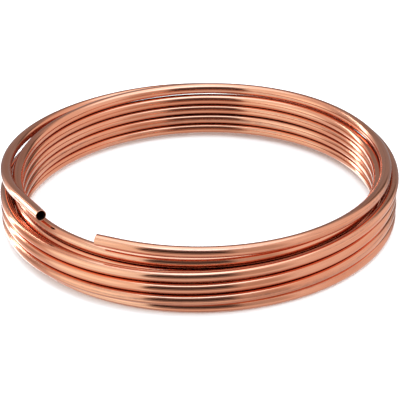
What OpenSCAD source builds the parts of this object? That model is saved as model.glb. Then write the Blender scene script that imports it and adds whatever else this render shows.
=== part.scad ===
// Coil of soft copper tube: one continuous tube wound in two layers.
// Units are mm, +Z is up, the coil lies flat on the floor at z = 0.

/* [Tube] */
// Outside diameter of the tube
tube_od = 12; // [8:0.5:16]
// Wall thickness of the tube
tube_wall = 0.8; // [0.5:0.1:1.5]

/* [Coil] */
// Clear diameter inside the coil
coil_bore = 377; // [280:1:460]
// Turns in each layer
layer_turns = 4; // [2:1:5]
// Air between neighbouring turns of the inner layer
inner_gap = 0.25; // [0.25:0.05:0.8]
// Air between neighbouring turns of the outer layer
outer_gap = 1.5; // [1.2:0.1:2.2]
// Air between the two layers
layer_gap = 1.4; // [1:0.1:2]

/* [Ends] */
// How far the top inner turn has sprung outward
top_spring = 8.5; // [5:0.5:10.5]
// Climb angle of the inner end of the tube
inner_end_climb = 1.65; // [1.2:0.05:2.2]
// Straight length at the inner end
inner_end_straight = 24; // [15:1:50]
// How much wider the last outer turn is bent
outer_spring = 4.5; // [3:0.5:6]
// How much tighter the last bend is, which brings the outer end in over the inner layer
outer_curl = 8; // [6:0.5:10]
// Air between the outer end and the turn it crosses, at the last bend
outer_end_gap = 0.3; // [0.2:0.1:3]
// Straight length at the outer end
outer_end_straight = 56; // [20:1:70]
// Bearing where the inner end's own bend is over, counter-clockwise from +X
start_bearing = 296; // [0:1:359]

/* [Hidden] */

// Radii of the tube's centreline
inner_radius = coil_bore / 2 + tube_od / 2;
layer_step = tube_od + layer_gap;

// Order of the bends: four that close the sprung top turn in, the inner layer down to the floor,
// three that move out to the outer layer, and the outer layer up to its free end.
// All turn through a quarter circle but the first, which is about half as long.
first_inner = 4;
first_change = first_inner + 4 * layer_turns - 1;
first_outer = first_change + 3;
bends = first_outer + 4 * layer_turns - 2;
on_floor = first_change + 2;

// The first bend's sine and cosine both end at six figures, and so does the cosine of each settled twist.
// The bends then meet ring to ring when the model is written out with six figures.
first_bend = acos(0.658944);
function settled(a) = sign(a) * acos(1 - round(1e6 * (1 - cos(a))) / 1e6);

function bend_angle(k) = k == 0 ? first_bend : 90;

function bend_radius(k) =
    k == 0 ? inner_radius + 1.5 * top_spring
    : k < first_inner ? inner_radius + top_spring * (first_inner - k) / 4
    : k < first_change ? inner_radius
    : k < first_outer ? inner_radius + layer_step * (k - first_change + 1) / 4
    : k == bends - 1 ? inner_radius + layer_step - outer_curl
    : inner_radius + layer_step + (k >= bends - 3 ? outer_spring : 0);

// Slope that the tube aims for at joint j, where bend j starts: its rise for each mm of tube.
// A steady slope of an eighth of the pitch over the radius climbs one pitch in four bends.
inner_slope = (tube_od + inner_gap) / (8 * inner_radius);
outer_slope = (tube_od + outer_gap) / (8 * (inner_radius + layer_step));

// Air between the sprung top turn and the turn that it settles beside
sprung_air = 0.1;
// The further out the top turn has sprung, the lower it settles, so the flatter it runs at joint 2.
settling = 8 * sqrt(pow(tube_od + sprung_air, 2) - pow(top_spring / 2, 2)) / (tube_od + inner_gap) - 7;
// A thicker tube has to drop sooner as it leaves the inner layer.
leaving = 0.45 + tube_od / 80;
// A tighter last bend reaches the inner layer sooner, so it is lifted more to cross it.
crossing_air = outer_end_gap + (outer_curl - 8) / 5;

function slope(j) =
    j <= 1 ? -sin(inner_end_climb)
    : j == 2 ? -settling * inner_slope
    : j <= first_change ? -inner_slope
    : j == first_change + 1 ? -leaving * inner_slope
    : j == on_floor ? 0
    : j == on_floor + 1 ? 1.25 * outer_slope
    : j < bends - 2 ? outer_slope
    : 0.8 * outer_slope;

// Follows the tube from bend k on. out, along and up say how far its own outward, forward and upward
// directions point up, rise is its height above joint 0, and crossed is that height at joint 4.
// Each row of the result is a bend's twist about the tube, and the rise where the bend starts.
function follow(k, out, along, up, rise, crossed) =
    k == bends ? [[0, rise]] :
    let (
        a = bend_angle(k),
        r = bend_radius(k),
        aim = k < bends - 1 ? slope(k + 1) : (crossed + tube_od + crossing_air - rise) / r - along,
        whole = sqrt(out * out + up * up),
        twist = settled(asin(out / whole) - asin((along * cos(a) - aim) / sin(a) / whole)),
        leaning = out * cos(twist) - up * sin(twist),
        next = along * cos(a) - leaning * sin(a),
        next_rise = rise + r * tan(a / 2) * (along + next)
    )
    concat([[twist, rise]], follow(k + 1, leaning * cos(a) + along * sin(a), next,
        out * sin(twist) + up * cos(twist), next_rise, k == 3 ? next_rise : crossed));

course = follow(0, 0, -sin(inner_end_climb), cos(inner_end_climb), 0, 0);
start_height = tube_od / 2 - course[on_floor][1];

module tube_section() {
    difference() {
        circle(d = tube_od, $fn = 32);
        circle(d = tube_od - 2 * tube_wall, $fn = 32);
    }
}

module quarter_bend(r) {
    rotate_extrude(angle = 90, $fn = 96) translate([r, 0]) tube_section();
}

// The first bend is a quarter bend cut off at its angle
module one_bend(k) {
    r = bend_radius(k);
    if (k > 0) quarter_bend(r);
    else intersection() {
        quarter_bend(r);
        rotate([0, 0, first_bend]) translate([0, -2 * r, -tube_od]) cube([2 * r, 2 * r, 2 * tube_od]);
    }
}

// Each bend starts at the origin heading +Y, turns towards -X and carries the rest of the tube
module tube_from(k) {
    rotate([0, course[k][0], 0]) translate([-bend_radius(k), 0, 0]) {
        one_bend(k);
        rotate([0, 0, bend_angle(k)]) translate([bend_radius(k), 0, 0]) {
            if (k < bends - 1) tube_from(k + 1);
            else rotate([-90, 0, 0]) linear_extrude(height = outer_end_straight) tube_section();
        }
    }
}

// The wider first bend pushes the rest of the coil towards the bearing where it ends, and the sprung
// outer turn widens the footprint towards a bearing of its own. Moving the coil back by as much keeps
// the origin under the footprint's middle.
sprung_bearing = start_bearing + 90 * (bends - 2) - 45;
pushed = bend_radius(0) - inner_radius - top_spring;
middle_x = pushed * cos(start_bearing) + outer_spring * cos(sprung_bearing);
middle_y = pushed * sin(start_bearing) + outer_spring * sin(sprung_bearing);

module copper_tube() {
    color([0.85, 0.52, 0.38])
    translate([-middle_x, -middle_y, 0])
    rotate([0, 0, start_bearing - first_bend])
    translate([bend_radius(0), 0, start_height])
    rotate([-inner_end_climb, 0, 0]) {
        rotate([90, 0, 0]) linear_extrude(height = inner_end_straight) tube_section();
        tube_from(0);
    }
}

copper_tube();
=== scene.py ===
"""Coil of soft copper tube: one drawn tube wound in two layers, with both ends open.

The coil's sizes are in millimetres, as in the CAD part, and every mesh is made in metres in the CAD
frame. The tube follows the same course as the CAD tube, bend by bend, with its own smooth mesh.
"""

from __future__ import annotations

import logging
import math
from dataclasses import dataclass, field
from enum import Enum

import bpy
import numpy as np
from mathutils import Matrix, Vector

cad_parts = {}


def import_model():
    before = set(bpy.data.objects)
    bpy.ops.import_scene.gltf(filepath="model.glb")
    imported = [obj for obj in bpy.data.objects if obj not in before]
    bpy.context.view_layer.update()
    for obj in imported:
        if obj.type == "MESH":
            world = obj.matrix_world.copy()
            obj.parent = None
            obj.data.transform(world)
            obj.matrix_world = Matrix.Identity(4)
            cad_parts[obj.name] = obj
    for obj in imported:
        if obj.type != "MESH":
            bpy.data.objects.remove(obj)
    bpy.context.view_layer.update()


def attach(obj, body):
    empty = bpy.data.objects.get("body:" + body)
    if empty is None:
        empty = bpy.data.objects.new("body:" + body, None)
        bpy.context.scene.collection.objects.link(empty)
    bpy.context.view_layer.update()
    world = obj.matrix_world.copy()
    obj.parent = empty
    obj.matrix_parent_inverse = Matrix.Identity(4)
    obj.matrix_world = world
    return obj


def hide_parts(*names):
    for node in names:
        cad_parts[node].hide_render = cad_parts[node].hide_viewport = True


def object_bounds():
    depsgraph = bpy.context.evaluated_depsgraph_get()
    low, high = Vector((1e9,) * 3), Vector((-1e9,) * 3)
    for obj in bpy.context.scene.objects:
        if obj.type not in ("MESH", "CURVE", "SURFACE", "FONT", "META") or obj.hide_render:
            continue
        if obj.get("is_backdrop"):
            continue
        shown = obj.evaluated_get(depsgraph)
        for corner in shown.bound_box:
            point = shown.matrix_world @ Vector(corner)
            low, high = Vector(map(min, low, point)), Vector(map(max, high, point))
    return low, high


log = logging.getLogger("copper_coil")

MM = 0.001
BODY = "root"
CAD_NODE = "copper_tube"
COORD = "tube_coord"
# how deep each skin point lies between neighbouring turns; the skin's painted shade follows it
CREVICE = "tube_crevice"

Colour = tuple[float, float, float, float]
Triple = tuple[float, float, float]
Span = tuple[float, float]


class TubeEnd(Enum):
    """The two free ends of the tube. The value starts the name of the end's pieces."""

    INNER = "inner_end"
    OUTER = "outer_end"


class Wall(Enum):
    """The two faces of the tube's wall. The value orders a face's corners so that it looks out or in."""

    SKIN = (3, 2, 1, 0)
    BORE = (0, 1, 2, 3)


# ------------------------------------------------------------------ the tube's course


@dataclass(frozen=True)
class Bend:
    """One planar bend of the tube.

    Attributes:
        radius: Radius of the centreline, in mm.
        angle: Angle that the bend turns through, in radians.
        aim: Slope that the tube aims for where the bend ends, as rise for each mm of tube. Not used.
    """

    radius: float
    angle: float
    aim: float


@dataclass
class Stations:
    """Places along the tube's centreline, in mm.

    Attributes:
        points: The places themselves, one row each.
        outward: Unit vector away from the bend's middle, at each place.
        along: Unit vector along the tube, from the inner end to the outer end.
        upward: Unit vector square to the other two.
    """

    points: np.ndarray
    outward: np.ndarray
    along: np.ndarray
    upward: np.ndarray

    def lengths(self) -> np.ndarray:
        """Gives the length of tube from the inner end to each place."""
        steps = np.linalg.norm(np.diff(self.points, axis=0), axis=1)
        return np.concatenate([[0.0], np.cumsum(steps)])


@dataclass
class CoilCourse:
    """The course of the tube's centreline, bend by bend, as the CAD part winds it.

    Attributes:
        tube_od: Outside diameter of the tube, in mm, as all sizes here are.
        coil_bore: Clear diameter inside the coil.
        layer_turns: Turns in each layer.
        inner_gap: Air between neighbouring turns of the inner layer.
        outer_gap: Air between neighbouring turns of the outer layer.
        layer_gap: Air between the two layers.
        top_spring: How far the top inner turn has sprung outward.
        inner_end_climb: Climb angle of the inner end, in degrees.
        inner_end_straight: Straight length at the inner end.
        outer_spring: How much wider the last outer turn is bent.
        outer_curl: How much tighter the last bend is.
        outer_end_gap: Air between the outer end and the turn that it crosses, at the last bend.
        sprung_air: Air between the sprung top turn and the turn that it settles beside.
        outer_end_straight: Straight length at the outer end.
        start_bearing: Bearing where the inner end's own bend is over, in degrees.
        first_cosine: Cosine of the first bend's angle.
        first_inner: Number of the inner layer's first bend, after those that close the top turn in.
        plain_curl: The last bend's curl at which it needs no more lift than its gap.
    """

    tube_od: float = 12.0
    coil_bore: float = 377.0
    layer_turns: int = 4
    inner_gap: float = 0.25
    outer_gap: float = 1.5
    layer_gap: float = 1.4
    top_spring: float = 8.5
    inner_end_climb: float = 1.65
    inner_end_straight: float = 24.0
    outer_spring: float = 4.5
    outer_curl: float = 8.0
    outer_end_gap: float = 0.3
    sprung_air: float = 0.1
    outer_end_straight: float = 56.0
    start_bearing: float = 296.0
    first_cosine: float = 0.658944
    first_inner: int = 4
    plain_curl: float = 8.0

    @property
    def inner_radius(self) -> float:
        """Radius of the inner layer's centreline."""
        return (self.coil_bore + self.tube_od) / 2

    @property
    def outer_radius(self) -> float:
        """Radius of the outer layer's centreline."""
        return self.inner_radius + self.tube_od + self.layer_gap

    @property
    def first_change(self) -> int:
        """Number of the first bend that moves out to the outer layer."""
        return self.first_inner + 4 * self.layer_turns - 1

    @property
    def on_floor(self) -> int:
        """Number of the joint where the tube lies on the floor."""
        return self.first_change + 2

    @property
    def bend_count(self) -> int:
        """How many bends the tube has."""
        return self.first_change + 4 * self.layer_turns + 1

    def radius(self, k: int) -> float:
        """Gives the centreline radius of a bend.

        Args:
            k: The bend's number, from the inner end.

        Returns:
            The radius in mm.
        """
        last = self.bend_count - 1
        if k == 0:
            return self.inner_radius + 1.5 * self.top_spring
        if k < self.first_inner:
            return self.inner_radius + self.top_spring * (self.first_inner - k) / 4
        if k < self.first_change:
            return self.inner_radius
        if k < self.first_change + 3:
            share = (k - self.first_change + 1) / 4
            return self.inner_radius + share * (self.outer_radius - self.inner_radius)
        if k == last:
            return self.outer_radius - self.outer_curl
        return self.outer_radius + (self.outer_spring if k >= last - 2 else 0.0)

    def slope(self, j: int) -> float:
        """Gives the slope that the tube aims for at a joint between bends.

        Args:
            j: The joint's number. Bend j starts there.

        Returns:
            The rise for each mm of tube.
        """
        inner = (self.tube_od + self.inner_gap) / (8 * self.inner_radius)
        outer = (self.tube_od + self.outer_gap) / (8 * self.outer_radius)
        if j <= 1:
            return -math.sin(math.radians(self.inner_end_climb))
        if j == 2:
            # the further out the top turn has sprung, the lower it settles and the flatter it runs
            beside = math.sqrt((self.tube_od + self.sprung_air) ** 2 - (self.top_spring / 2) ** 2)
            return -(8 * beside / (self.tube_od + self.inner_gap) - 7) * inner
        if j <= self.first_change:
            return -inner
        if j == self.first_change + 1:
            # a thicker tube has to drop sooner as it leaves the inner layer
            return -(0.45 + self.tube_od / 80) * inner
        if j == self.on_floor:
            return 0.0
        if j == self.on_floor + 1:
            return 1.25 * outer
        return outer if j < self.bend_count - 2 else 0.8 * outer

    @staticmethod
    def settled(angle: float) -> float:
        """Keeps a twist to one whose cosine ends at six figures, as the CAD part does.

        Args:
            angle: The twist in radians.

        Returns:
            The nearest such twist.
        """
        return math.copysign(math.acos(1 - round(1e6 * (1 - math.cos(angle))) / 1e6), angle)

    def wound(self) -> tuple[list[tuple[float, Bend]], float]:
        """Works out each bend's twist about the tube and the height where the tube starts.

        Returns:
            The twists with their bends, and the centreline's height at the first joint.
        """
        climb = math.radians(self.inner_end_climb)
        out, along, up = 0.0, -math.sin(climb), math.cos(climb)
        rise, crossed, floor_rise = 0.0, 0.0, 0.0
        rows: list[tuple[float, Bend]] = []
        for k in range(self.bend_count):
            angle = math.acos(self.first_cosine) if k == 0 else math.pi / 2
            r = self.radius(k)
            if k == self.on_floor:
                floor_rise = rise
            if k == self.bend_count - 1:
                air = self.outer_end_gap + (self.outer_curl - self.plain_curl) / 5
                aim = (crossed + self.tube_od + air - rise) / r - along
            else:
                aim = self.slope(k + 1)
            whole = math.hypot(out, up)
            lean = math.asin((along * math.cos(angle) - aim) / math.sin(angle) / whole)
            twist = self.settled(math.asin(out / whole) - lean)
            leaning = out * math.cos(twist) - up * math.sin(twist)
            following = along * math.cos(angle) - leaning * math.sin(angle)
            up = out * math.sin(twist) + up * math.cos(twist)
            out = leaning * math.cos(angle) + along * math.sin(angle)
            rise += r * math.tan(angle / 2) * (along + following)
            along = following
            if k == 3:
                crossed = rise
            rows.append((twist, Bend(r, angle, aim)))
        return rows, self.tube_od / 2 - floor_rise

    def start(self, height: float) -> tuple[np.ndarray, np.ndarray]:
        """Places the first joint of the tube.

        Args:
            height: The centreline's height there.

        Returns:
            The joint's place, and the tube's own directions there as the columns outward, along
            and upward.
        """
        climb = math.radians(self.inner_end_climb)
        turn = math.radians(self.start_bearing) - math.acos(self.first_cosine)
        tilt = np.array([[1, 0, 0], [0, math.cos(climb), math.sin(climb)],
                         [0, -math.sin(climb), math.cos(climb)]])
        spin = np.array([[math.cos(turn), -math.sin(turn), 0],
                         [math.sin(turn), math.cos(turn), 0], [0, 0, 1]])
        pushed = self.radius(0) - self.inner_radius - self.top_spring
        push_way = math.radians(self.start_bearing)
        sprung_way = math.radians(self.start_bearing + 90 * (self.bend_count - 2) - 45)
        middle = pushed * np.array([math.cos(push_way), math.sin(push_way), 0.0])
        middle += self.outer_spring * np.array([math.cos(sprung_way), math.sin(sprung_way), 0.0])
        place = spin @ np.array([self.radius(0), 0.0, 0.0]) + np.array([0.0, 0.0, height]) - middle
        return place, spin @ tilt

    def stations(self, spacing: float, near_ends: float = 0.0) -> Stations:
        """Walks the whole tube from the inner end to the outer end.

        Args:
            spacing: Greatest distance between neighbouring places, in mm.
            near_ends: Spacing on the two straight ends, or 0 for the same spacing as elsewhere.

        Returns:
            The places with the tube's own directions there.
        """
        rows, height = self.wound()
        place, frame = self.start(height)
        fine = near_ends or spacing
        points: list[np.ndarray] = []
        frames: list[np.ndarray] = []

        def straight(begin: float, end: float, keep_last: bool) -> None:
            """Adds the places of a straight end, measured along the tube from the present joint."""
            count = max(2, math.ceil((end - begin) / fine))
            for i in range(count + int(keep_last)):
                points.append(place + frame[:, 1] * (begin + (end - begin) * i / count))
                frames.append(frame.copy())

        straight(-self.inner_end_straight, 0.0, False)
        for twist, bend in rows:
            c, s = math.cos(twist), math.sin(twist)
            outward, along, upward = frame[:, 0], frame[:, 1], frame[:, 2]
            outward, upward = c * outward - s * upward, s * outward + c * upward
            count = math.ceil(bend.radius * bend.angle / spacing)
            for i in range(count + 1):
                a = bend.angle * i / count
                there = np.stack([outward * math.cos(a) + along * math.sin(a),
                                  along * math.cos(a) - outward * math.sin(a), upward], axis=1)
                moved = place + bend.radius * (outward * (math.cos(a) - 1) + along * math.sin(a))
                if i < count:
                    points.append(moved)
                    frames.append(there)
            place, frame = moved, there
        straight(0.0, self.outer_end_straight, True)
        stack = np.array(frames)
        return Stations(np.array(points), stack[:, :, 0], stack[:, :, 1], stack[:, :, 2])


# ------------------------------------------------------------------ node helpers


@dataclass(frozen=True)
class Grain:
    """A noise pattern on the unrolled tube.

    Attributes:
        along: How many times it changes in a metre along the tube.
        across: The same around the tube.
        shift: How far it is moved along, which sets it apart from the other patterns.
        detail: How many finer patterns it adds.
        rough: How strong the finer patterns are.
    """

    along: float
    across: float
    shift: float = 0.0
    detail: float = 3.0
    rough: float = 0.6


class NodeSheet:
    """A node tree with short ways to add and join nodes."""

    def __init__(self, tree: bpy.types.NodeTree) -> None:
        """Keeps the tree and empties it.

        Args:
            tree: The node tree of a material or a world.
        """
        self.tree = tree
        self.tree.nodes.clear()

    def add(self, kind: str, **settings: object) -> bpy.types.Node:
        """Adds a node.

        Args:
            kind: Blender's name of the node type.
            **settings: Properties of the node.

        Returns:
            The new node.
        """
        node = self.tree.nodes.new(kind)
        for name, value in settings.items():
            setattr(node, name, value)
        return node

    def put(self, socket: bpy.types.NodeSocket, value: object) -> None:
        """Links a socket's source, or sets its plain value.

        Args:
            socket: The input.
            value: An output socket, a number, or a colour.
        """
        if isinstance(value, bpy.types.NodeSocket):
            self.tree.links.new(value, socket)
        else:
            socket.default_value = value

    def math(self, operation: str, *values: object, clamp: bool = False) -> bpy.types.NodeSocket:
        """Adds a math node.

        Args:
            operation: Blender's name of the operation.
            *values: Its inputs, as numbers or sockets.
            clamp: Whether the result is kept from 0 to 1.

        Returns:
            The result's socket.
        """
        node = self.add("ShaderNodeMath", operation=operation, use_clamp=clamp)
        for socket, value in zip(node.inputs, values, strict=False):
            self.put(socket, value)
        return node.outputs[0]

    def ramp(self, value: object, span: Span, result: Span = (0.0, 1.0)) -> bpy.types.NodeSocket:
        """Maps a value from one range to another with soft ends.

        Args:
            value: The value or its socket.
            span: The two ends of the value's range.
            result: The result at and beyond each of those ends.

        Returns:
            The result's socket.
        """
        node = self.add("ShaderNodeMapRange", interpolation_type="SMOOTHSTEP")
        for socket, number in zip(node.inputs, (value, *span, *result), strict=False):
            self.put(socket, number)
        return node.outputs[0]

    def blend(self, share: object, first: object, second: object) -> bpy.types.NodeSocket:
        """Mixes two colours.

        Args:
            share: How much of the second colour, from 0 to 1.
            first: The first colour or its socket.
            second: The second colour or its socket.

        Returns:
            The mixed colour's socket.
        """
        node = self.add("ShaderNodeMix", data_type="RGBA")
        self.put(node.inputs[0], share)
        self.put(node.inputs[6], first)
        self.put(node.inputs[7], second)
        return node.outputs[2]

    def grain(self, place: object, grain: Grain) -> bpy.types.NodeSocket:
        """Adds a noise texture, drawn out along the tube.

        Args:
            place: Socket of the place on the unrolled tube.
            grain: The pattern.

        Returns:
            The noise value's socket.
        """
        mapping = self.add("ShaderNodeMapping")
        self.put(mapping.inputs["Vector"], place)
        mapping.inputs["Scale"].default_value = (grain.along, grain.across, grain.across)
        mapping.inputs["Location"].default_value = (grain.shift, 0.0, 0.0)
        texture = self.add("ShaderNodeTexNoise", noise_dimensions="3D")
        self.put(texture.inputs["Vector"], mapping.outputs[0])
        for name, number in (("Scale", 1.0), ("Detail", grain.detail), ("Roughness", grain.rough)):
            texture.inputs[name].default_value = number
        return texture.outputs[0]

    def attribute(self, name: str, output: str) -> bpy.types.NodeSocket:
        """Reads one of the mesh's own attributes, through the named output of its node."""
        return self.add("ShaderNodeAttribute", attribute_name=name).outputs[output]

    def surface(self, shader: bpy.types.Node) -> None:
        """Makes a shader the material's surface."""
        self.put(self.add("ShaderNodeOutputMaterial").inputs["Surface"], shader.outputs[0])

    def metal(self, colour: object, rough: object, height: object | None = None) -> None:
        """Makes the material's surface a metal.

        Args:
            colour: The metal's colour or its socket.
            rough: The roughness or its socket.
            height: Socket of the relief in metres, if it has one.
        """
        shader = self.add("ShaderNodeBsdfPrincipled")
        shader.inputs["Metallic"].default_value = 1.0
        self.put(shader.inputs["Base Color"], colour)
        self.put(shader.inputs["Roughness"], rough)
        if height is not None:
            bump = self.add("ShaderNodeBump")
            bump.inputs["Strength"].default_value = 1.0
            bump.inputs["Distance"].default_value = 1.0
            self.put(bump.inputs["Height"], height)
            self.put(shader.inputs["Normal"], bump.outputs[0])
        self.surface(shader)


# ------------------------------------------------------------------ finishes


def new_material(name: str) -> tuple[bpy.types.Material, NodeSheet]:
    """Makes a material with an empty node sheet.

    Args:
        name: Name of the material.

    Returns:
        The material and its sheet.
    """
    material = bpy.data.materials.new(name)
    material.use_nodes = True
    return material, NodeSheet(material.node_tree)


@dataclass(frozen=True)
class DrawnCopper:
    """Bright soft copper with the fine lengthwise lines that the drawing die leaves.

    Attributes:
        name: Name of the material.
        bright: Colour of the clean metal.
        warm: Colour where a breath of oxide has reddened it.
        dull: Colour of the thin brown tarnish.
        painted_shade_colour: Colour of the painted shade that darkens the skin between the turns, where
            neighbouring turns shade each other.
        roughness: Roughness of the clean metal.
        streak: How much the drawn lines change the roughness.
        tarnish_rough: How much rougher the tarnish is.
        fine: Pattern of the finest drawn lines.
        broad: Pattern of the broader lines, which the tarnish follows too.
        fine_share: Share of the finest lines in the whole of the lines.
        patch: Pattern of the reddened patches.
        mottle: Pattern of the small spots in the tarnish.
        sway: Pattern of the slow waves that handling leaves in soft tube.
        ripple: Pattern of the narrower waves.
        line_depth: Depth of the drawn lines, in mm, as the other depths are.
        mottle_depth: Depth of the small spots.
        sway_depth: Depth of the slow waves, over a wave's whole length.
        ripple_depth: Depth of the narrower waves.
    """

    name: str = "drawn_copper"
    bright: Colour = (0.90, 0.395, 0.245, 1.0)
    warm: Colour = (0.83, 0.31, 0.175, 1.0)
    dull: Colour = (0.50, 0.235, 0.165, 1.0)
    # painted shade: the dark colour laid on the skin between neighbouring turns
    painted_shade_colour: Colour = (0.10, 0.035, 0.026, 1.0)
    roughness: float = 0.11
    streak: float = 0.10
    tarnish_rough: float = 0.14
    fine: Grain = Grain(6.0, 900.0)
    broad: Grain = Grain(5.0, 260.0, shift=7.0)
    fine_share: float = 0.55
    patch: Grain = Grain(9.0, 60.0, shift=3.0, rough=0.55)
    mottle: Grain = Grain(170.0, 260.0)
    sway: Grain = Grain(11.0, 28.0, shift=5.0, detail=1.0, rough=0.4)
    ripple: Grain = Grain(16.0, 150.0, shift=9.0, detail=2.0, rough=0.5)
    line_depth: float = 0.006
    mottle_depth: float = 0.0012
    sway_depth: float = 0.55
    ripple_depth: float = 0.09

    def make(self) -> bpy.types.Material:
        """Makes the material.

        Returns:
            The material with its nodes.
        """
        material, sheet = new_material(self.name)
        place = sheet.attribute(COORD, "Vector")
        fine, broad, patch, mottle, sway, ripple = (
            sheet.grain(place, grain)
            for grain in (self.fine, self.broad, self.patch, self.mottle, self.sway, self.ripple))
        lines = sheet.math("ADD", sheet.math("MULTIPLY", fine, self.fine_share),
                           sheet.math("MULTIPLY", broad, 1 - self.fine_share))
        tarnish = sheet.math("MULTIPLY", sheet.ramp(broad, (0.50, 0.70)),
                             sheet.ramp(mottle, (0.35, 0.65), (0.35, 0.85)))
        colour = sheet.blend(sheet.ramp(patch, (0.38, 0.68)), self.bright, self.warm)
        colour = sheet.blend(tarnish, colour, self.dull)
        # painted shade between neighbouring turns, deepest where they all but touch
        colour = sheet.blend(self.painted_shade_share(sheet, broad), colour, self.painted_shade_colour)
        half = self.streak / 2
        rough = sheet.ramp(lines, (0.30, 0.70), (self.roughness - half, self.roughness + half))
        rough = sheet.math("ADD", rough, sheet.math("MULTIPLY", tarnish, self.tarnish_rough))
        height = sheet.math("MULTIPLY", lines, self.line_depth * MM)
        for pattern, depth in ((mottle, self.mottle_depth), (sway, self.sway_depth),
                               (ripple, self.ripple_depth)):
            height = sheet.math("ADD", height, sheet.math("MULTIPLY", pattern, depth * MM))
        sheet.metal(colour, rough, height)
        return material

    @staticmethod
    def painted_shade_share(sheet: NodeSheet, broad: object) -> bpy.types.NodeSocket:
        """Works out how much of the skin gets the painted shade. It lies between the turns, with an
        uneven edge.

        Args:
            sheet: The material's node sheet.
            broad: Socket of the broader drawn lines.

        Returns:
            Socket of the share, from 0 to 1.
        """
        crevice = sheet.attribute(CREVICE, "Fac")
        uneven = sheet.math("ADD", crevice, sheet.ramp(broad, (0.3, 0.7), (-0.12, 0.12)))
        return sheet.ramp(uneven, (0.25, 0.95))


@dataclass(frozen=True)
class TubeBore:
    """The unpolished inside of the tube, browned by the annealing.

    Attributes:
        name: Name of the material.
        pale: Colour of the paler patches.
        brown: Colour of the browner patches.
        patch: Pattern of the patches.
        roughness: Roughness of the browner and the paler patches.
    """

    name: str = "tube_bore"
    pale: Colour = (0.30, 0.13, 0.085, 1.0)
    brown: Colour = (0.13, 0.055, 0.04, 1.0)
    patch: Grain = Grain(40.0, 300.0)
    roughness: Span = (0.42, 0.58)

    def make(self) -> bpy.types.Material:
        """Makes the material.

        Returns:
            The material with its nodes.
        """
        material, sheet = new_material(self.name)
        patch = sheet.grain(sheet.attribute(COORD, "Vector"), self.patch)
        colour = sheet.blend(sheet.ramp(patch, (0.35, 0.65)), self.brown, self.pale)
        sheet.metal(colour, sheet.ramp(patch, (0.3, 0.7), self.roughness))
        return material


@dataclass(frozen=True)
class CutEdge:
    """The square end where the tube was cut, bright with the cutter's fine rings.

    Attributes:
        name: Name of the material.
        bright: Colour of the cut metal.
        scored: Colour in the cutter's rings.
        blur: Pattern that breaks the rings up.
        roughness: Least and greatest roughness.
        ring_rate: How fast the rings follow each other, in radians for each metre across.
        ring_depth: Depth of the rings, in mm.
    """

    name: str = "cut_edge"
    bright: Colour = (0.93, 0.47, 0.32, 1.0)
    scored: Colour = (0.66, 0.27, 0.17, 1.0)
    blur: Grain = Grain(900.0, 900.0, detail=2.0)
    roughness: Span = (0.22, 0.36)
    ring_rate: float = 36000.0
    ring_depth: float = 0.01

    def make(self) -> bpy.types.Material:
        """Makes the material.

        Returns:
            The material with its nodes.
        """
        material, sheet = new_material(self.name)
        place = sheet.attribute(COORD, "Vector")
        split = sheet.add("ShaderNodeSeparateXYZ")
        sheet.put(split.inputs[0], place)
        squares = [sheet.math("POWER", side, 2.0) for side in split.outputs[1:3]]
        radius = sheet.math("SQRT", sheet.math("ADD", *squares))
        wave = sheet.math("SINE", sheet.math("MULTIPLY", radius, self.ring_rate))
        ring = sheet.math("MULTIPLY_ADD", wave, 0.5, 0.5)
        blur = sheet.grain(place, self.blur)
        score = sheet.math("MULTIPLY", ring, sheet.ramp(blur, (0.3, 0.7)))
        sheet.metal(sheet.blend(score, self.bright, self.scored),
                    sheet.ramp(blur, (0.3, 0.7), self.roughness),
                    sheet.math("MULTIPLY", score, self.ring_depth * MM))
        return material


@dataclass(frozen=True)
class PaleFloor:
    """The plain pale floor that the coil lies on.

    Attributes:
        name: Name of the material.
        shade: Its colour.
    """

    name: str = "pale_floor"
    shade: Colour = (0.93, 0.93, 0.93, 1.0)

    def make(self) -> bpy.types.Material:
        """Makes the material.

        Returns:
            The material with its nodes.
        """
        material, sheet = new_material(self.name)
        paint = sheet.add("ShaderNodeBsdfDiffuse")
        paint.inputs["Color"].default_value = self.shade
        sheet.surface(paint)
        return material


# ------------------------------------------------------------------ the tube


def mesh_piece(name: str, points: np.ndarray, faces: np.ndarray, coords: np.ndarray,
               material: bpy.types.Material, crevice: np.ndarray | None = None) -> bpy.types.Object:
    """Makes a smooth mesh piece of the tube, riding on the part's one body.

    Args:
        name: Name of the piece.
        points: Vertices in mm.
        faces: Four corners a face.
        coords: Each vertex's place on the unrolled tube, in metres.
        material: The piece's finish.
        crevice: How deep each vertex lies between neighbouring turns, from 0 to 1.

    Returns:
        The new object.
    """
    mesh = bpy.data.meshes.new(name)
    mesh.from_pydata((points * MM).tolist(), [], faces.tolist())
    unrolled = mesh.attributes.new(COORD, "FLOAT_VECTOR", "POINT")
    unrolled.data.foreach_set("vector", coords.astype(np.float32).ravel())
    if crevice is not None:
        depth = mesh.attributes.new(CREVICE, "FLOAT", "POINT")
        depth.data.foreach_set("value", crevice.astype(np.float32))
    mesh.materials.append(material)
    mesh.shade_smooth()
    mesh.update()
    piece = bpy.data.objects.new(name, mesh)
    bpy.context.scene.collection.objects.link(piece)
    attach(piece, BODY)
    log.info("%s: %d faces", name, len(faces))
    return piece


def ring_faces(rings: int, sides: int, order: tuple[int, int, int, int]) -> np.ndarray:
    """Gives the faces between neighbouring rings of a round piece.

    Args:
        rings: How many rings there are.
        sides: How many sides each ring has.
        order: Order of a face's corners. Corners 0 and 3 are on one ring, 1 and 2 on the next.

    Returns:
        Four vertex numbers a face.
    """
    first = np.arange(rings - 1)[:, None] * sides
    here = np.arange(sides)[None, :]
    following = (here + 1) % sides
    corners = (first + here, first + sides + here, first + sides + following, first + following)
    return np.stack([corners[i] for i in order], axis=-1).reshape(-1, 4)


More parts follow.
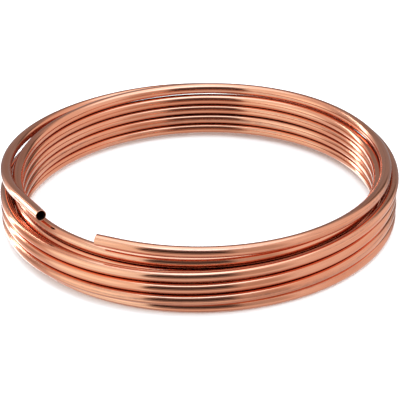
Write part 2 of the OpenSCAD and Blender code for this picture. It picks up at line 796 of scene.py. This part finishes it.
@dataclass
class TubeWall:
    """One face of the tube's wall, swept along its whole course.

    Attributes:
        course: The tube's course.
        face: Which face of the wall it is.
        radius: Its radius in mm.
        sides: How many sides it has around.
        spacing: Greatest distance between its rings, in mm.
        end_spacing: The same on the straight ends.
        trim: How far it stops short of each end, in mm.
        crevice_depth: Distance to the next turn at which a crevice begins, in mm.
        own_reach: Length of tube to either side that is the same turn, in radii of the tube.
        turn_reach: Greatest distance between the centrelines of neighbouring turns, in radii.
    """

    course: CoilCourse
    face: Wall
    radius: float
    sides: int
    spacing: float
    end_spacing: float
    trim: float = 0.25
    crevice_depth: float = 3.0
    own_reach: float = 6.0
    turn_reach: float = 5.0

    def build(self, name: str, material: bpy.types.Material) -> bpy.types.Object:
        """Builds the swept wall.

        Args:
            name: Name of the piece.
            material: Its finish.

        Returns:
            The new object.
        """
        line = self.course.stations(self.spacing, self.end_spacing)
        line.points[0] += line.along[0] * self.trim
        line.points[-1] -= line.along[-1] * self.trim
        length = line.lengths()
        around = 2 * math.pi * np.arange(self.sides) / self.sides
        cosine, sine = np.cos(around), np.sin(around)
        ring = (line.outward[:, None, :] * cosine[None, :, None]
                + line.upward[:, None, :] * sine[None, :, None])
        points = (line.points[:, None, :] + self.radius * ring).reshape(-1, 3)
        coords = np.stack([np.repeat(length, self.sides), np.tile(self.radius * cosine, len(length)),
                           np.tile(self.radius * sine, len(length))], axis=1) * MM
        crevice = self.crevices(line, points) if self.face is Wall.SKIN else None
        faces = ring_faces(len(length), self.sides, self.face.value)
        return mesh_piece(name, points, faces, coords, material, crevice)

    def crevices(self, line: Stations, points: np.ndarray) -> np.ndarray:
        """Works out how deep each point of the skin lies between neighbouring turns.

        Args:
            line: The stations of the rings.
            points: The skin's points, ring by ring, in mm.

        Returns:
            For each point, 0 in the open and 1 where the next turn all but touches.
        """
        length = line.lengths()
        closest = np.full(len(points), np.inf)
        rings = points.reshape(len(length), self.sides, 3)
        for i, ring in enumerate(rings):
            other = np.abs(length - length[i]) > self.own_reach * self.radius
            far = np.linalg.norm(line.points - line.points[i], axis=1)
            near = other & (far < self.turn_reach * self.radius)
            if not near.any():
                continue
            away = ring[:, None, :] - line.points[near][None, :, :]
            squares = (away ** 2).sum(axis=2)
            which = squares.argmin(axis=1)
            beside = (away[np.arange(self.sides), which] * line.along[near][which]).sum(axis=1)
            gaps = np.sqrt(squares.min(axis=1) - beside ** 2)
            closest[i * self.sides:(i + 1) * self.sides] = gaps - self.radius
        return 1 - np.clip(closest / self.crevice_depth, 0, 1)


@dataclass
class EndRim:
    """The cut ring at one end of the tube: a flat face between two small worn edges.

    Attributes:
        course: The tube's course.
        end: Which end of the tube it closes.
        outer: The tube's outer radius in mm.
        inner: The bore's radius in mm.
        sides: How many sides it has around.
        edge: Size of the worn edges, in mm.
        burr: Size of the bore's edge as a share of that.
    """

    course: CoilCourse
    end: TubeEnd
    outer: float
    inner: float
    sides: int = 64
    edge: float = 0.25
    burr: float = 0.6

    def profile(self) -> list[tuple[float, float]]:
        """Gives the rim's section from the skin to the bore, as radius and depth from the cut."""
        steps = [math.radians(a) for a in (0, 22.5, 45, 67.5, 90)]
        burr = self.burr * self.edge
        out = [(self.outer - self.edge * (1 - math.cos(a)), self.edge * (1 - math.sin(a))) for a in steps]
        back = [(self.inner + burr * (1 - math.sin(a)), self.edge * (1 - math.cos(a))) for a in steps]
        return out + back

    def build(self, material: bpy.types.Material) -> bpy.types.Object:
        """Builds the rim.

        Args:
            material: Its finish.

        Returns:
            The new object.
        """
        line = self.course.stations(20.0)
        at, way, order = (0, 1.0, (0, 3, 2, 1)) if self.end is TubeEnd.INNER else (-1, -1.0, (1, 2, 3, 0))
        around = 2 * math.pi * np.arange(self.sides) / self.sides
        cosine, sine = np.cos(around), np.sin(around)
        ring = line.outward[at] * cosine[:, None] + line.upward[at] * sine[:, None]
        rows, coords = [], []
        for radius, depth in self.profile():
            rows.append(line.points[at] + radius * ring + way * depth * line.along[at])
            coords.append(np.stack([np.full(self.sides, depth), radius * cosine, radius * sine], axis=1))
        return mesh_piece(self.end.value + "_rim", np.concatenate(rows),
                          ring_faces(len(rows), self.sides, order), np.concatenate(coords) * MM, material)


@dataclass
class CopperTube:
    """The whole tube: its skin, its bore and the rim at each end.

    Attributes:
        course: The tube's course.
        wall: Thickness of the tube's wall, in mm.
        inset: How far the skin lies inside the CAD tube's, in mm, to keep it in the CAD part's box.
        skin_finish: Finish of the outside.
        bore_finish: Finish of the inside.
        rim_finish: Finish of the two cut ends.
    """

    course: CoilCourse = field(default_factory=CoilCourse)
    wall: float = 0.8
    inset: float = 0.05
    skin_finish: DrawnCopper = field(default_factory=DrawnCopper)
    bore_finish: TubeBore = field(default_factory=TubeBore)
    rim_finish: CutEdge = field(default_factory=CutEdge)

    def build(self) -> list[bpy.types.Object]:
        """Builds every piece of the tube in place of the plain CAD tube.

        Returns:
            The new objects.
        """
        outer = self.course.tube_od / 2 - self.inset
        inner = self.course.tube_od / 2 - self.wall
        skin_wall = TubeWall(self.course, Wall.SKIN, outer, sides=56, spacing=8.0, end_spacing=6.0)
        bore_wall = TubeWall(self.course, Wall.BORE, inner, sides=32, spacing=16.0, end_spacing=2.0)
        skin = skin_wall.build("tube_skin", self.skin_finish.make())
        bore = bore_wall.build("tube_bore", self.bore_finish.make())
        cut = self.rim_finish.make()
        rims = [EndRim(self.course, end, outer, inner).build(cut) for end in TubeEnd]
        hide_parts(CAD_NODE)
        return [skin, bore, *rims]


# ------------------------------------------------------------------ studio


@dataclass(frozen=True)
class LightCard:
    """A soft-edged patch of the studio's surroundings, given by where it stands as seen from the coil.

    Attributes:
        name: What it stands for.
        bearing: Degrees to the right of the side that the coil is seen from.
        height: Degrees above the floor's level.
        width: Full width in degrees.
        tall: Full height in degrees.
        soft: Width of the soft edge in degrees.
        glow: Brightness of red, green and blue.
    """

    name: str
    bearing: float
    height: float
    width: float
    tall: float
    soft: float
    glow: Triple


@dataclass
class Studio:
    """A light tent: pale floor, soft surroundings and the camera. Lengths are in metres.

    The metal shows the cards, later ones over earlier ones. The floor is lit evenly instead, so that it
    stays pale right up to the coil.

    Attributes:
        surround: Brightness between the cards.
        backdrop: What the camera sees behind the coil.
        floor_light: Brightness of the even light on the floor.
        cards: The light cards.
        floor_radius: Radius of the floor.
        tilt: How many degrees the camera looks down.
        distance: From the camera to its target.
        lens: Focal length in mm.
        roll: How many degrees the camera leans.
        target: The place that the camera looks at.
    """

    surround: Triple = (0.82, 0.82, 0.82)
    backdrop: Triple = (1.0, 1.0, 1.0)
    floor_light: float = 2.3
    cards: tuple[LightCard, ...] = (
        LightCard("floor", 0.0, -90.0, 720.0, 70.0, 30.0, (0.58, 0.58, 0.58)),
        LightCard("right wall", 90.0, 25.0, 90.0, 80.0, 30.0, (0.87, 0.90, 0.92)),
        LightCard("left softbox", -60.5, 0.0, 60.0, 104.0, 8.0, (1.00, 1.24, 1.27)),
        LightCard("left softbox's hot middle", -64.0, 10.0, 40.0, 32.0, 20.0, (1.32, 1.64, 1.70)),
        LightCard("gap beside the softbox", -105.0, 8.0, 18.0, 34.0, 14.0, (0.45, 0.43, 0.42)),
        LightCard("dim wall behind", 176.0, 10.0, 84.0, 66.0, 16.0, (0.30, 0.31, 0.33)),
        LightCard("dark gap behind", 136.0, 22.0, 14.0, 30.0, 12.0, (0.12, 0.11, 0.10)),
        LightCard("upper strip light", -134.0, 33.0, 4.0, 20.0, 3.0, (7.0, 9.0, 10.0)),
        LightCard("lower strip light", -125.0, 8.0, 4.5, 38.0, 3.0, (7.5, 9.5, 10.5)),
        LightCard("bright floor behind", -149.0, -33.0, 26.0, 20.0, 8.0, (2.0, 2.5, 2.7)),
        LightCard("bright floor at the left", -134.0, -22.0, 10.0, 22.0, 6.0, (2.4, 3.0, 3.3)),
        LightCard("half-lit front", 10.0, 6.0, 78.0, 66.0, 16.0, (0.55, 0.53, 0.51)),
        LightCard("shaded front", -5.0, 14.0, 52.0, 74.0, 6.0, (0.31, 0.29, 0.28)),
        LightCard("dark front", -7.0, 27.0, 48.0, 48.0, 6.0, (0.14, 0.12, 0.12)),
        LightCard("darkest front", -7.0, 12.0, 47.0, 19.0, 5.0, (0.03, 0.025, 0.025)),
        LightCard("overhead light", 0.0, 90.0, 720.0, 64.0, 10.0, (1.35, 1.85, 2.20)),
        LightCard("overhead light's front", 0.0, 73.0, 110.0, 26.0, 14.0, (1.75, 2.90, 3.80)),
    )
    floor_radius: float = 8.0
    tilt: float = 28.335
    distance: float = 2.4268
    lens: float = 201.06
    roll: float = 1.4986
    target: Triple = (-0.000385, -0.004255, 0.0192)

    def build(self) -> None:
        """Makes the floor, the surroundings and the camera."""
        self.make_floor()
        self.make_world()
        self.make_camera()
        bpy.context.scene.view_settings.view_transform = "Standard"

    def make_floor(self) -> None:
        """Makes the pale floor as a wide disc. The surroundings alone show in the metal."""
        mesh = bpy.data.meshes.new("floor")
        sides = 96
        around = [2 * math.pi * i / sides for i in range(sides)]
        rim = [(self.floor_radius * math.cos(a), self.floor_radius * math.sin(a), 0.0) for a in around]
        mesh.from_pydata(rim, [], [list(range(sides))])
        mesh.materials.append(PaleFloor().make())
        floor = bpy.data.objects.new("floor", mesh)
        bpy.context.scene.collection.objects.link(floor)
        floor.visible_glossy = False
        floor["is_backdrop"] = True
        log.info("floor: radius %.1f m", self.floor_radius)

    def make_world(self) -> None:
        """Makes the soft surroundings from the light cards, over an even tent."""
        world = bpy.data.worlds.new("light_tent")
        world.use_nodes = True
        bpy.context.scene.world = world
        sheet = NodeSheet(world.node_tree)
        way = sheet.add("ShaderNodeSeparateXYZ")
        sheet.put(way.inputs[0], sheet.add("ShaderNodeTexCoord").outputs["Generated"])
        x, y, z = way.outputs
        bearing = sheet.math("ARCTAN2", x, sheet.math("MULTIPLY", y, -1.0))
        height = sheet.math("ARCSINE", z)
        light: object = (*self.surround, 1.0)
        for card in self.cards:
            light = sheet.blend(self.card_share(sheet, card, bearing, height), light, (*card.glow, 1.0))
        path = sheet.add("ShaderNodeLightPath").outputs
        light = sheet.blend(path["Is Diffuse Ray"], light, (*[self.floor_light] * 3, 1.0))
        light = sheet.blend(path["Is Camera Ray"], light, (*self.backdrop, 1.0))
        shine = sheet.add("ShaderNodeBackground")
        sheet.put(shine.inputs["Color"], light)
        sheet.put(sheet.add("ShaderNodeOutputWorld").inputs["Surface"], shine.outputs[0])
        log.info("light tent: %s", ", ".join(card.name for card in self.cards))

    @staticmethod
    def card_share(sheet: NodeSheet, card: LightCard, bearing: object,
                   height: object) -> bpy.types.NodeSocket:
        """Works out how much of a direction a card covers.

        Args:
            sheet: The world's node sheet.
            card: The card.
            bearing: Socket of the direction's bearing, in radians.
            height: Socket of the direction's height, in radians.

        Returns:
            Socket of the share, from 0 to 1.
        """
        half, soft = math.radians(card.width / 2), math.radians(card.soft)
        aside = sheet.math("SUBTRACT", bearing, math.radians(card.bearing))
        aside = sheet.math("ABSOLUTE", sheet.math("WRAP", aside, math.pi, -math.pi))
        across = sheet.ramp(aside, (half - soft / 2, half + soft / 2), (1.0, 0.0))
        tall = math.radians(card.tall / 2)
        above = sheet.math("ABSOLUTE", sheet.math("SUBTRACT", height, math.radians(card.height)))
        upright = sheet.ramp(above, (tall - soft / 2, tall + soft / 2), (1.0, 0.0))
        return sheet.math("MULTIPLY", across, upright)

    def make_camera(self) -> None:
        """Makes the camera, a long lens looking down at the coil from the front."""
        tilt, roll = math.radians(self.tilt), math.radians(self.roll)
        forward = Vector((0.0, math.cos(tilt), -math.sin(tilt)))
        over = Vector((0.0, math.sin(tilt), math.cos(tilt)))
        aside = Vector((1.0, 0.0, 0.0))
        right = aside * math.cos(roll) - over * math.sin(roll)
        up = aside * math.sin(roll) + over * math.cos(roll)
        place = Vector(self.target) - forward * self.distance
        data = bpy.data.cameras.new("camera")
        data.sensor_width = 36.0
        data.lens = self.lens
        data.clip_start, data.clip_end = 0.05, 100.0
        camera = bpy.data.objects.new("camera", data)
        camera.matrix_world = Matrix.Translation(place) @ Matrix(
            [[right[i], up[i], -forward[i]] for i in range(3)]).to_4x4()
        bpy.context.scene.collection.objects.link(camera)
        bpy.context.scene.camera = camera
        log.info("camera: %.0f mm lens, %.2f m away", self.lens, self.distance)


# ------------------------------------------------------------------ main


def corners() -> list[list[float]]:
    """Gives the shown object's lowest and highest corner as plain lists."""
    return [[float(v) for v in corner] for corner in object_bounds()]


def main() -> None:
    """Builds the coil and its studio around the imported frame."""
    logging.basicConfig(level=logging.INFO, format="%(name)s %(message)s")
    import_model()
    tube = CopperTube()
    pieces = tube.build()
    log.info("copper tube: %d pieces", len(pieces))
    Studio().build()


if __name__ == "__main__":
    main()
